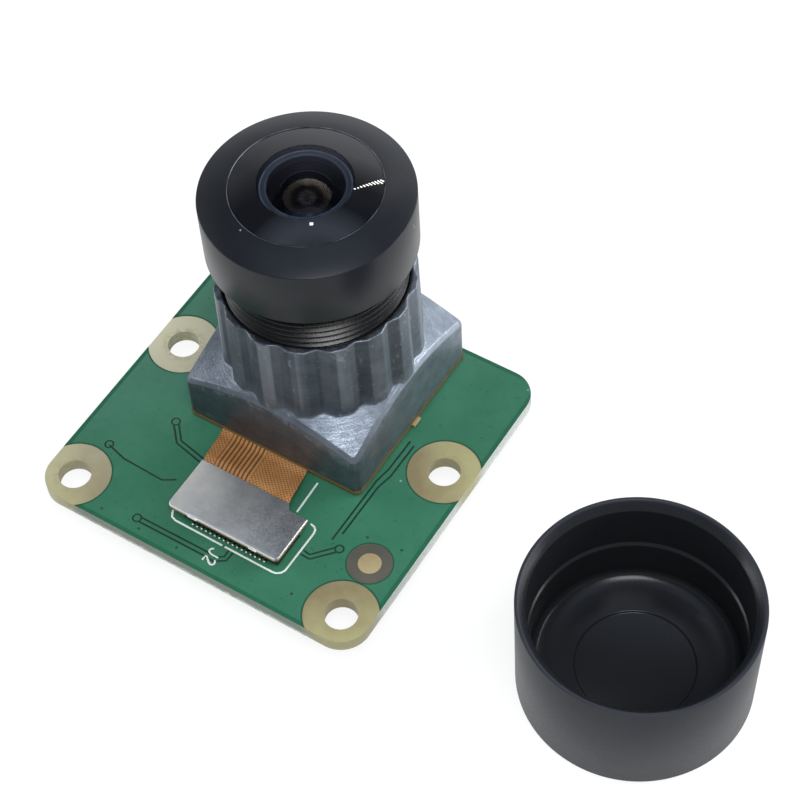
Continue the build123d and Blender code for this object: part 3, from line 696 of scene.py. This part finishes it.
def cap_finish():
    """Black moulded plastic, satin outside, glossier inside, with a painted highlight on its rim."""
    material, tree, shader = new_material("cap plastic", {"Specular IOR Level": 0.22})
    x, y, z = axes(tree)
    grain_value = use_group(tree, grain_group, Size=0.1)
    satin = remap(tree, grain_value, *grain_span, 0.36, 0.46)
    outer_wall, inner_wall = 7.35, 7.0
    inside = remap(tree, distance_from(tree, x, y, cap_centre.xy), outer_wall, inner_wall)
    # Painted highlight along the rim.
    rim = remap(tree, z, cap_high.z - 0.12, cap_high.z - 0.04)
    surface = painted(tree, drifting(tree, (23, 27, 36), (29, 33, 42), 2.5),
                      (inside, (31, 32, 35)), (rim, (46, 48, 54)))
    feed(tree, shader, surface, minus(tree, satin, times(tree, inside, 0.2)), grain_value, 0.0015)
    return material


def glass_finish(name, colour, index, film, specular=0.5):
    """Clear glass with a thin anti-reflection film, its thickness in nanometres."""
    material, tree, shader = new_material(name, {
        "Roughness": 0.0, "Transmission Weight": 1.0, "IOR": index, "Specular IOR Level": specular,
        "Thin Film Thickness": film, "Thin Film IOR": 1.38,
    })
    smudge = remap(tree, noise(tree, 1.5), 0.45, 0.75, 0.0, 0.06)
    smudge_and_glare = tuple(0.8 * value for value in colour[:3]) + (1.0,)
    set_inputs(shader, {"Base Color": blend_colours(tree, smudge, colour, smudge_and_glare)})
    return material


def ink_finish():
    """Black ink behind the front glass, with a frosted ledge round the clear opening that carries a painted
    bluish reflection, brightest in lines along its edges.
    """
    material, tree, shader = new_material("black glass ink", {"Specular IOR Level": 0.15})
    x, y, z = axes(tree)
    reach = distance_from(tree, x, y, lens_centre)
    on_ledge = remap(tree, z, ledge_level - 0.14, ledge_level - 0.06)
    # Painted reflection: bluish on the ledge, brightest in two lines along its edges.
    ledge = times(tree, remap(tree, reach, ledge_radius + 0.06, ledge_radius), on_ledge)
    patch = remap(tree, noise(tree, 1.4), 0.4, 0.6, 0.25, 1.0)
    surface = painted(tree, tone(16, 19, 26), (ledge, (66, 74, 88)))
    for radius, width, shade in ((ledge_radius - 0.04, 0.07, (120, 140, 164)),
                                 (opening_radius + 0.06, 0.08, (92, 104, 122))):
        gap = absolute(tree, minus(tree, reach, radius))
        surface = painted(tree, surface, (times(tree, remap(tree, gap, width, 0.0), patch, on_ledge), shade))
    grained(tree, shader, surface, (0.5, 0.65), 0.08, 0.0004)
    return material


mask_green = mask_finish()
glass_ink = ink_finish()
trace_green = finish("mask over gap", (14, 46, 32), (18, 54, 38), (0.3, 0.4), 0.3, 0.002)
legend_ink = finish("white legend ink", (232, 236, 232), (218, 224, 220), (0.55, 0.7), 0.08, 0.004)
bare_laminate = finish("bare laminate under mask", (92, 88, 78), (78, 76, 68), (0.4, 0.5), 0.1, 0.004)
gilt_pad = finish("gilt pad", (214, 196, 150), (190, 170, 124), (0.35, 0.5), 0.15, 0.004, metallic=0.6)
tab_cream = finish("laminate tab", (172, 148, 104), (150, 128, 86), (0.4, 0.55), 0.1, 0.004)
solder = finish("solder", (240, 240, 236), (222, 222, 218), (0.3, 0.45), 0.08, 0.002, metallic=0.35)
# Darker tin as painted shade, for the contacts in the shadow of the plate.
shaded_tin = finish("shaded tin", (64, 60, 54), (48, 46, 42), (0.4, 0.55), 0.08, 0.002, metallic=0.7)
thread_black = finish("thread black", (10, 11, 14), (16, 17, 20), (0.24, 0.34), 0.1, 0.001, specular=0.4)
glossy_black = finish("glossy black coat", (11, 13, 18), (15, 17, 22), (0.0, 0.012), 0.02, 0.0)
# Grey for the inner edge of the front ring, as a painted highlight.
lip_highlight = finish("lip highlight", (112, 114, 124), (40, 42, 47), (0.35, 0.5), 0.2, 0.001, metallic=0.4,
                   drift_size=1.2)
front_glass = glass_finish("front glass", (1.0, 1.0, 1.0, 1.0), 1.52, 124.0)

slot_finishes = {
    "solder_mask": laminate_finish(),
    "flex_film": flex_finish(),
    "steel_plate": plate_finish(),
    "cast_metal": cast_finish(),
    "cap_plastic": cap_finish(),
    "lens_glass": glass_finish("inner glass", (1.0, 0.93, 0.8, 1.0), 1.5, 0.0, specular=0.2),
    "filter_glass": glass_finish("filter glass", tone(200, 235, 240), 1.52, 220.0),
    "black_anodised": finish("black anodised", (19, 22, 28), (24, 27, 33), (0.28, 0.38), 0.06, 0.001,
                             specular=0.28, wear=(70, 72, 76), dust=0.012),
    "spacer_black": finish("spacer black", (12, 12, 13), (16, 16, 18), (0.6, 0.75), 0.06, 0.001, specular=0.25),
}

# Two colours, lowest and highest roughness, grain, bump and share of metal
plain_finishes = {
    "foam_tape": ((40, 40, 42), (30, 30, 32), (0.8, 0.95), 0.1, 0.02),
    "connector_black": ((22, 22, 23), (30, 30, 31), (0.4, 0.55), 0.1, 0.003),
    "connector_white": ((222, 218, 205), (210, 205, 192), (0.4, 0.55), 0.15, 0.003),
    "latch_brown": ((52, 36, 27), (66, 46, 34), (0.35, 0.5), 0.15, 0.003),
    "gold_contact": ((232, 196, 128), (214, 176, 108), (0.2, 0.32), 0.08, 0.001, 1.0),
    "tin_contact": ((222, 222, 220), (200, 200, 198), (0.22, 0.36), 0.08, 0.002, 1.0),
    "silicon": ((70, 62, 86), (52, 66, 74), (0.12, 0.2), 0.05, 0.0005, 0.6),
    "ceramic_tan": ((168, 138, 104), (152, 122, 90), (0.45, 0.6), 0.06, 0.003),
    "ceramic_black": ((28, 28, 30), (38, 38, 40), (0.3, 0.45), 0.06, 0.002),
    "ceramic_grey": ((86, 86, 84), (98, 97, 94), (0.45, 0.6), 0.06, 0.003),
    "package_black": ((36, 36, 37), (44, 44, 45), (0.5, 0.65), 0.06, 0.004),
    "lid_metal": ((190, 186, 172), (172, 168, 156), (0.25, 0.38), 0.1, 0.001, 1.0),
}
for slot, values in plain_finishes.items():
    slot_finishes[slot] = finish(slot.replace("_", " "), *values)
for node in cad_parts.values():
    for place in node.material_slots:
        place.material = slot_finishes[place.material.name.split(".")[0]]
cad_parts["front_element"].material_slots[0].material = front_glass
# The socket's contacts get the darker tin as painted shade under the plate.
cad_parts["socket_contacts"].material_slots[0].material = shaded_tin


# ---- Floor, lamps and background ----

def background_share(tree):
    """1 for rays from the camera, from reflections and through glass, and 0 for light on surfaces."""
    ray = tree.nodes.new("ShaderNodeLightPath")
    seen = highest(tree, ray.outputs["Is Camera Ray"], ray.outputs["Is Glossy Ray"])
    return highest(tree, seen, ray.outputs["Is Transmission Ray"])


def build_floor():
    """Plain white floor that keeps the shadow."""
    deselect_all()
    bpy.ops.mesh.primitive_plane_add(size=3.0, location=(0, 0, floor_level))
    floor = bpy.context.object
    floor.name = "floor"
    material, tree, shader = new_material("white floor", {
        "Roughness": 0.9, "Specular IOR Level": 0.0, "Emission Color": (1.0, 1.0, 1.0, 1.0),
    })
    seen = background_share(tree)
    surface = blend_colours(tree, seen, (0.62, 0.63, 0.64, 1.0), (0.2, 0.2, 0.2, 1.0))
    set_inputs(shader, {"Base Color": surface, "Emission Strength": times(tree, seen, 0.84)})
    floor.data.materials.append(material)


def build_world():
    """White to the camera, plain grey as light on surfaces, and a soft room where it is mirrored.

    The mirrored room is bright low down, most of all behind the board, dark above that, and bright and a
    little bluish again almost straight overhead.
    """
    world = bpy.data.worlds.new("studio")
    world.use_nodes = True
    bpy.context.scene.world = world
    tree = world.node_tree
    _, behind, height = split(tree, tree.nodes.new("ShaderNodeTexCoord").outputs["Generated"])
    low_band = times(tree, remap(tree, height, 0.55, 0.75, 1.0, 0.2), remap(tree, behind, 0.45, 0.9, 0.5, 1.6))
    ceiling = times(tree, remap(tree, height, 0.87, 0.95, 0.0, 0.9),
                    remap(tree, height, 0.965, 0.995, 1.0, 0.5))
    overhead = remap(tree, height, 0.85, 0.93)
    colour = blend_colours(tree, overhead, (0.95, 0.98, 1.02, 1.0), (0.78, 0.92, 1.2, 1.0))
    camera_ray = tree.nodes.new("ShaderNodeLightPath").outputs["Is Camera Ray"]
    seen = background_share(tree)
    mirrored = times(tree, minus(tree, seen, camera_ray), plus(tree, low_band, ceiling))
    lit = times(tree, minus(tree, 1.0, seen), 0.5)
    strength = plus(tree, plus(tree, camera_ray, mirrored), lit)
    set_inputs(tree.nodes["Background"], {"Color": colour, "Strength": strength})


def softbox(name, place, aim_at, size, power, seen_through_glass=False):
    """Square area lamp aimed at a point, with its place in millimetres."""
    lamp_data = bpy.data.lights.new(name, "AREA")
    lamp_data.shape = "SQUARE"
    lamp_data.size = size * MM
    lamp_data.energy = power
    lamp = bpy.data.objects.new(name, lamp_data)
    bpy.context.collection.objects.link(lamp)
    lamp.location = Vector(place) * MM
    lamp.rotation_euler = (Vector(aim_at) * MM - lamp.location).to_track_quat("-Z", "Y").to_euler()
    lamp.visible_transmission = seen_through_glass


def build_lamp_strip():
    """Row of small bright bars high behind the board, there for the glint that it leaves in the front glass."""
    near_end, far_end = Vector((-53, 258, 330)), Vector((-20, 319, 275))
    aim_at = Vector((0, 8, 21)) * MM
    bar_count, slant = 11, 0.45
    near_length, far_length, bar_width = 3, 16, 3.4
    along = (far_end - near_end).normalized()
    material, _, _ = new_material("strip light", {
        "Base Color": (0.0, 0.0, 0.0, 1.0), "Emission Color": (1.0, 0.98, 0.95, 1.0), "Emission Strength": 40.0,
    })
    bars = []
    for step in range(bar_count):
        share = step / (bar_count - 1)
        place = near_end.lerp(far_end, share) * MM
        facing = (aim_at - place).normalized()
        across = facing.cross(far_end - near_end).normalized()
        slanted = (across + slant * along).normalized()
        deselect_all()
        bpy.ops.mesh.primitive_plane_add(size=MM, location=place)
        bar = bpy.context.object
        bar.rotation_euler = Matrix((slanted, facing.cross(slanted), facing)).transposed().to_euler()
        bar.scale = (near_length + (far_length - near_length) * share, bar_width, 1)
        bar.data.materials.append(material)
        bars.append(bar)
    strip = join(bars)
    strip.name = "lamp_strip"
    strip.visible_transmission = False
    strip.visible_diffuse = False


build_floor()
build_world()
softbox("key", (130, -120, 370), (0, 5, 5), 150, 0.8)
softbox("left fill", (-360, -120, 120), (0, 5, 5), 200, 0.55)
softbox("right fill", (300, 260, 150), (5, 5, 5), 220, 1.1)
softbox("bulb", (-57, 84, 305), (0, 5, 20), 7, 0.0045, seen_through_glass=True)
build_lamp_strip()


# ---- Board: mask film, etched gaps and legend ----

target_disc = 0.76
film_height = 0.02
film_corner = 2.0
ink_height = 0.018
gap_height = 0.008
etched_level = board_top + film_height
line_width = 0.14
digit_width = 0.13


def build_film(name, level, height, openings):
    """Mask film over one side of the board, with round openings."""
    bottom, top = sorted((level, level + height))
    film = block((board_low.x, board_low.y, bottom), (board_high.x, board_high.y, top))

    def at_a_corner(edge):
        start, end = (film.data.vertices[index].co.z for index in edge.vertices)
        return abs(start - end) > hair

    edit(film)
    select_where(film, at_a_corner, "EDGE")
    bpy.ops.mesh.bevel(offset=film_corner * MM, segments=12, affect="EDGES")
    deselect_all()
    for x, y, radius in openings:
        cut(film, rod(x, y, radius, level - 1, level + 1))
    settle(film, name, mask_green, "board")


ring_openings = [(x, y, bare_ring_radius) for y in (-hole_y, hole_y) for x in (-hole_x, hole_x)]
build_film("mask_film_top", board_top, film_height, ring_openings + [(*target_place, target_opening)])
build_film("mask_film_bottom", 0.0, -film_height, ring_openings)


def build_target():
    """Round copper target for the placing machine: dark bare ring and gilt disc."""
    inner, outer = target_disc + 0.02, target_opening - 0.02
    ring = [(inner, board_top), (outer, board_top), (outer, board_top + 0.01), (inner, board_top + 0.01)]
    turned(ring, target_place, "target_ring", bare_laminate, "board", steps=64)
    disc = [(0.0, board_top), (target_disc, board_top), (target_disc, board_top + 0.03),
            (0.0, board_top + 0.035)]
    turned(disc, target_place, "target_pad", gilt_pad, "board", steps=64)


build_target()


def etched(points):
    """Dark line where the copper is etched away under the mask."""
    return stroke(points, line_width, etched_level, gap_height * 2)


def trace(points, spread=0.17):
    """The two etched gaps on both sides of a trace."""
    sides = []
    for side in (-1, 1):
        moved = []
        for index, (x, y) in enumerate(points):
            before = Vector(points[max(index - 1, 0)])
            after = Vector(points[min(index + 1, len(points) - 1)])
            run = (after - before).normalized()
            moved.append((x - run.y * side * spread, y + run.x * side * spread))
        sides.append(etched(moved))
    return join(sides)


def build_traces():
    """Etched gaps along the traces and round the open and the filled vias on the upper side."""
    open_via, open_width = 0.28, 0.12
    filled_via, filled_width = 0.05, 0.08
    pieces = [
        trace([(-7.0, 0.45), (-6.02, -0.63), (-3.82, -1.11)]),
        trace([(-4.65, -6.95), (0.33, -6.93), (1.3, -6.98), (1.86, -6.6), (1.88, -5.98)]),
        trace([(7.62, -2.45), (6.47, -3.72), (5.85, -3.67)]),
        etched([(7.0, -1.9), (7.05, 3.4), (7.25, 4.6), (7.3, 7.2)]),
        etched([(7.35, -1.2), (7.4, 3.0), (7.65, 4.2), (7.7, 7.0)]),
        etched([(-8.2, 9.8), (-7.4, 9.4), (-7.2, 12.6)]),
        etched([(-9.9, -3.2), (-8.4, -3.6), (-5.2, -3.7), (-4.4, -3.2)]),
    ]
    for x, y in ((-7.15, 0.62), (7.8, -2.25), (-9.95, -3.15), (-4.89, -6.95)):
        pieces.append(ring_mark(x, y, open_via, open_width, etched_level, gap_height * 2))
    for x, y in ((-7.34, -7.54), (-1.33, -7.51), (-4.32, -7.56), (8.9, -0.6), (11.3, -0.3), (7.0, -6.6)):
        pieces.append(ring_mark(x, y, filled_via, filled_width, etched_level, gap_height * 2))
    settle(join(pieces), "etched_gaps", trace_green, "board")


def build_legend():
    """White outline round the plug, its place number and a separate line."""
    def ink(points, width=line_width):
        return stroke(points, width, etched_level, ink_height * 2)

    pieces = [
        ink([(-3.2, -4.95), (-3.16, -5.38), (-2.95, -5.72), (-2.6, -5.83), (1.12, -5.86)]),
        ink([(1.32, -5.86), (5.0, -5.88), (5.3, -5.83), (5.55, -5.64), (5.68, -5.36), (5.72, -2.1),
             (5.66, -1.84), (5.46, -1.66), (5.16, -1.6)]),
        ink([(3.86, -1.28), (3.8, 1.3)]),
        ink([(0.82, -6.33), (0.68, -6.4), (0.62, -6.54), (0.66, -6.67), (0.8, -6.75), (1.02, -6.79),
             (1.44, -6.77)], digit_width),
        ink([(0.62, -7.42), (0.64, -7.06), (0.76, -7.06), (0.92, -7.2), (1.08, -7.35), (1.26, -7.43),
             (1.4, -7.4), (1.47, -7.27), (1.44, -7.12), (1.34, -7.05)], digit_width),
    ]
    settle(join(pieces), "legend_top", legend_ink, "board")


def build_legend_below():
    """White corner marks round two chips on the underside, and a dot at one corner of each."""
    level = -film_height - ink_height
    margin, arm = 0.25, 0.5
    pieces = []
    for node in ("memory_chip", "oscillator_base"):
        low, high = box(node)
        middle = (low + high) / 2
        reach_x, reach_y = (high.x - low.x) / 2 + margin, (high.y - low.y) / 2 + margin
        for side_x, side_y in ((1, 1), (1, -1), (-1, -1), (-1, 1)):
            x, y = middle.x + side_x * reach_x, middle.y + side_y * reach_y
            corner = [(x - side_x * arm, y), (x, y), (x, y - side_y * arm)]
            pieces.append(stroke(corner, line_width, level, ink_height * 2))
        dot = (middle.x - reach_x - 0.3, middle.y - reach_y)
        pieces.append(ring_mark(*dot, 0.08, 0.12, level, ink_height * 2))
    settle(join(pieces), "legend_below", legend_ink, "board")


build_traces()
build_legend()
build_legend_below()


# ---- Plug: solder at its contacts and the stubs on its plate ----

contact_pitch = 0.35
contact_width = 0.18
contact_count = 17


def build_plug_solder():
    """Solder fillet over the foot of every contact of the plug's socket."""
    low, high = box("socket_contacts")
    half = contact_width * 0.7
    first_x = low.x + contact_width / 2
    top = board_top + 0.17
    pieces = []
    for front_y, back_y in ((low.y - 0.06, low.y + 0.16), (high.y - 0.16, high.y + 0.06)):
        mound = block((first_x - half, front_y, board_top + 0.02), (first_x + half, back_y, top))
        edit(mound)
        select_where(mound, lambda vertex: vertex.co.z > top * MM - hair)
        middle = (first_x * MM, (front_y + back_y) / 2 * MM, top * MM)
        bpy.ops.transform.resize(value=(0.45, 0.4, 1), center_override=middle)
        deselect_all()
        apply_modifier(mound, "SUBSURF", levels=2, render_levels=2)
        pieces.append(copy_to(mound, [(step * contact_pitch, 0, 0) for step in range(1, contact_count)]))
    fillets = join(pieces)
    smooth(fillets, 60)
    settle(fillets, "plug_solder", solder, "board")


def build_plate():
    """Stiffener plate with softened edges, and the stubs left where it was broken from its strip."""
    plate = copy_node("plug_stiffener")
    edit(plate)
    bpy.ops.mesh.dissolve_limited(angle_limit=math.radians(2))
    deselect_all()
    apply_modifier(plate, "BEVEL", width=0.04 * MM, segments=2, limit_method="ANGLE",
                   angle_limit=math.radians(40))
    pieces = [plate]
    for stub_x, stub_width in ((-1.5, 0.7), (3.25, 0.6)):
        stub = block((stub_x, plate_low.y - 0.1, plate_low.z + 0.06),
                     (stub_x + stub_width, plate_low.y + 0.05, plate_high.z - 0.02))
        soften_block(stub, 0.04, 2)
        pieces.append(stub)
    plate = join(pieces)
    smooth(plate, 35)
    settle(plate, "stiffener_plate", slot_finishes["steel_plate"], "board")
    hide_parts("plug_stiffener")


build_plug_solder()
build_plate()


# ---- Holder, and the tab beside it ----

def build_holder():
    """Soften every edge of the holder as a die casting has them."""
    holder = copy_node("lens_holder")
    apply_modifier(holder, "REMESH", mode="VOXEL", voxel_size=0.07 * MM)
    apply_modifier(holder, "SMOOTH", factor=0.5, iterations=2)
    apply_modifier(holder, "DECIMATE", ratio=0.3)
    activate(holder)
    bpy.ops.object.shade_smooth()
    settle(holder, "cast_holder", slot_finishes["cast_metal"], "board")
    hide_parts("lens_holder")


def build_panel_tab():
    """Stub that joined the sensor board to its panel, beside the holder."""
    side = box("sensor_flex")[1].x
    front_y, back_y = 8.2, 9.0
    tab = block((side - 0.1, front_y, holder_low.z - 0.24), (side + 0.24, back_y, holder_low.z - 0.03))
    soften_block(tab, 0.05, 3)
    smooth(tab, 35)
    settle(tab, "panel_tab", tab_cream, "board")


build_holder()
build_panel_tab()


# ---- Lens: barrel with its screw thread, front ring, and the black on the front glass ----

thread_pitch = 0.5
thread_crest = 5.96
thread_root = 5.66
head_bottom = lens_low.z
barrel_bottom, head_top = [corner.z for corner in box("lens_barrel")]
glass_seat = box("front_spacer")[1].z
stack_bottom = box("aperture_disc")[0].z
rear_top = box("rear_crown_element")[1].z - 0.3
head_radius = 6.25
glass_pocket = 5.32
stack_bore = 3.9
rear_bore = 3.6
web_bore = 2.2
lip_radius = 4.77


def build_barrel():
    """Barrel with its head, run-out groove and inner seats."""
    profile = [
        (rear_bore, barrel_bottom), (thread_root - 0.25, barrel_bottom), (thread_root, barrel_bottom + 0.25),
        (thread_root, head_bottom - 0.2), (thread_root + 0.2, head_bottom), (head_radius - 0.1, head_bottom),
        (head_radius, head_bottom + 0.1), (head_radius, head_top), (glass_pocket, head_top),
        (glass_pocket, glass_seat), (stack_bore, glass_seat), (stack_bore, stack_bottom),
        (web_bore, stack_bottom), (web_bore, rear_top), (rear_bore, rear_top),
    ]
    barrel = turned(profile, lens_centre, "barrel_body", thread_black, "lens")
    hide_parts("lens_barrel")


def build_thread():
    """Screw ridge on the barrel, wound turn by turn."""
    bottom, top = barrel_bottom + 0.4, head_bottom - 0.3
    turns = int((top - bottom) / thread_pitch)
    foot, crest = 0.46 * thread_pitch, 0.08 * thread_pitch
    outline = [(thread_root - 0.1, -foot), (thread_root, -foot), (thread_crest, -crest), (thread_crest, crest),
               (thread_root, foot), (thread_root - 0.1, foot)]
    x, y = lens_centre
    ridge = draw_line([(x + radius, y, bottom + height) for radius, height in outline], closed=True)
    edit(ridge)
    bpy.ops.mesh.edge_face_add()
    activate(ridge)
    bpy.context.scene.cursor.location = (x * MM, y * MM, 0)
    bpy.ops.object.origin_set(type="ORIGIN_CURSOR")
    apply_modifier(ridge, "SCREW", screw_offset=thread_pitch * MM, iterations=turns, steps=96, render_steps=96)
    edit(ridge)
    bpy.ops.mesh.normals_make_consistent(inside=False)
    deselect_all()
    smooth(ridge)
    settle(ridge, "barrel_thread", thread_black, "lens")


def build_front_ring():
    """Front ring with softened edges."""
    ring_radius = (lens_high.x - lens_low.x) / 2
    inner = head_radius + 0.02
    ceiling = head_top + 0.05
    lip_bottom = ceiling + 0.6
    edge_top = head_bottom + 4.25
    profile = [
        (inner, head_bottom), (ring_radius, head_bottom), (ring_radius, edge_top), (lip_radius, lens_high.z),
        (lip_radius, lip_bottom), (glass_pocket, lip_bottom), (glass_pocket, ceiling), (inner, ceiling),
    ]
    ring = turned(profile, lens_centre, "ring_body", slot_finishes["black_anodised"], "lens",
                  soften=0.06, steps=160)
    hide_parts("front_ring")


def build_glass_ink():
    """Blackened body set in the front glass, with a ledge round its clear opening."""
    bottom = glass_seat + 0.05
    profile = [
        (3.12, bottom), (5.25, bottom), (5.25, dome_top - 1.5), (4.69, ledge_level),
        (ledge_radius, ledge_level), (opening_radius + 0.06, dome_top - 0.97),
        (opening_radius, dome_top - 1.05), (opening_radius, dome_top - 2.2),
    ]
    turned(profile, lens_centre, "glass_ink", glass_ink, "lens")


def build_glass_coat():
    """Glossy black coat on the front glass from its rim to the clear opening."""
    rim_radius, rim_drop = 4.75, 0.65
    dome_radius = (rim_radius ** 2 + rim_drop ** 2) / (2 * rim_drop)
    steps = 14
    inner, outer = ledge_radius + 0.2, rim_radius - 0.02
    outline = []
    for step in range(steps + 1):
        radius = inner + (outer - inner) * step / steps
        outline.append((radius, dome_top - dome_radius + math.sqrt(dome_radius ** 2 - radius ** 2)))
    profile = [(radius, level + 0.012) for radius, level in outline]
    profile += [(radius, level + 0.003) for radius, level in reversed(outline)]
    turned(profile, lens_centre, "glass_coat", glossy_black, "lens")


def build_lip_highlight():
    """Sharp inner edge of the front ring, coloured grey as a painted highlight."""
    bottom, top = lens_high.z - 0.03, lens_high.z + 0.004
    profile = [(4.765, bottom), (4.79, top), (4.82, top), (4.82, bottom)]
    turned(profile, lens_centre, "lip_highlight_ring", lip_highlight, "lens", steps=160)


build_barrel()
build_thread()
build_front_ring()
build_glass_ink()
build_glass_coat()
build_lip_highlight()


# ---- Lens cap ----

def build_cap():
    """Moulded cap with a lead-in, a ledge, a dished corner and a shallow round recess in its floor."""
    ground, top = cap_low.z, cap_high.z
    rim = (cap_high.x - cap_low.x) / 2
    base = rim - 0.1
    mouth = 6.9
    well = mouth - 0.22
    floor = ground + 1.45
    profile = [
        (0.0, floor - 0.12), (3.8, floor - 0.12), (3.88, floor), (4.82, floor), (5.6, floor + 0.05),
        (6.2, floor + 0.18), (6.48, floor + 0.38), (well - 0.06, floor + 0.6), (well, top - 4.28),
        (mouth - 0.14, top - 4.2), (mouth, top - 4.1), (mouth, top - 0.6), (rim - 0.2, top), (rim, top - 0.02),
        (base + 0.02, ground + 0.38), (base - 0.1, ground + 0.1), (base - 0.38, ground), (0.0, ground),
    ]
    cap = turned(profile, cap_centre.xy, "cap_body", slot_finishes["cap_plastic"], "board",
                 closed=False, soften=0.05, steps=160)
    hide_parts("lens_cap")


build_cap()


# ---- Leave nothing selected ----

deselect_all()
